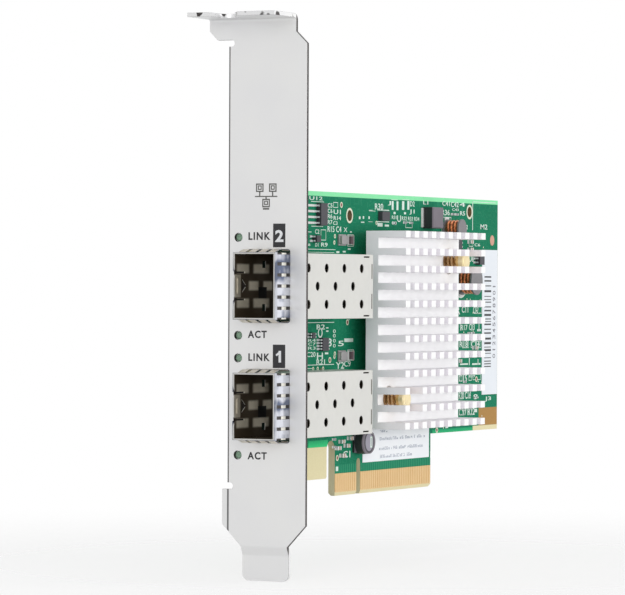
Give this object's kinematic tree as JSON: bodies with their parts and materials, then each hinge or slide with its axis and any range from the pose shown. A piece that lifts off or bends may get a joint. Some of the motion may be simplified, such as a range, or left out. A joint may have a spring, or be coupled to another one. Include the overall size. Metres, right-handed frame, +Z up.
{
  "type": "network interface card",
  "caption": "Plug-in network card: green board with gold edge contacts, tall slotted bracket, perforated transceiver cages with spring fingers, and a pin-fin heat sink on brass push pins.",
  "frame": {"origin": "mid-plane of the board, on the centre line of the key notch, level with the lower edge of the card-edge tongue", "axes": "+X out of the component side, +Y along the board away from the bracket, +Z up, out of the slot"},
  "size_m": [0.023, 0.1436, 0.12],
  "materials": {
    "bracket_steel": "satin zinc-plated sheet",
    "cage_steel": "bright tin-plated sheet",
    "spring_steel": "bright formed strip",
    "screw_steel": "machined",
    "board": "green solder mask over glass laminate",
    "gold": "gold plated",
    "sink": "fine blasted",
    "pad": "soft grey",
    "chip_black": "moulded",
    "lead_tin": "tin plated",
    "can_metal": "nickel lid",
    "ferrite": "dull grey",
    "copper": "enamelled wire",
    "brass": "turned",
    "capacitor_tan": "fired ceramic",
    "resistor_black": "glazed",
    "label_paper": "matte",
    "light_lens": "cloudy green",
    "connector_black": "moulded"
  },
  "bodies": {
    "root": {"bracket": "bracket_steel", "bracket_screws": "screw_steel", "circuit_board": "board", "edge_contacts_component_side": "gold", "edge_contacts_solder_side": "gold", "sfp_cage_cover_1": "cage_steel", "sfp_cage_cover_2": "cage_steel", "sfp_cage_floor_1": "cage_steel", "sfp_cage_floor_2": "cage_steel", "spring_collar_1": "spring_steel", "spring_collar_2": "spring_steel", "host_connector_1": "connector_black", "host_connector_2": "connector_black", "host_contacts_1": "gold", "host_contacts_2": "gold", "status_light_act_1": "light_lens", "status_light_link_1": "light_lens", "status_light_act_2": "light_lens", "status_light_link_2": "light_lens", "main_chip": "chip_black", "thermal_pad": "pad", "heat_sink": "sink", "push_pin_lower": "brass", "push_pin_upper": "brass", "push_pin_spring_lower": "spring_steel", "push_pin_spring_upper": "spring_steel", "memory_chip": "chip_black", "monitor_chip": "chip_black", "small_chips": "chip_black", "chip_leads": "lead_tin", "oscillator": "can_metal", "crystal": "can_metal", "storage_coil": "ferrite", "round_coil": "ferrite", "drum_core_upper": "ferrite", "drum_core_lower": "ferrite", "drum_winding_upper": "copper", "drum_winding_lower": "copper", "chip_capacitors": "capacitor_tan", "chip_resistors": "resistor_black", "rear_capacitors": "capacitor_tan", "bar_label": "label_paper", "note_label": "label_paper"}
  },
  "joints": []
}
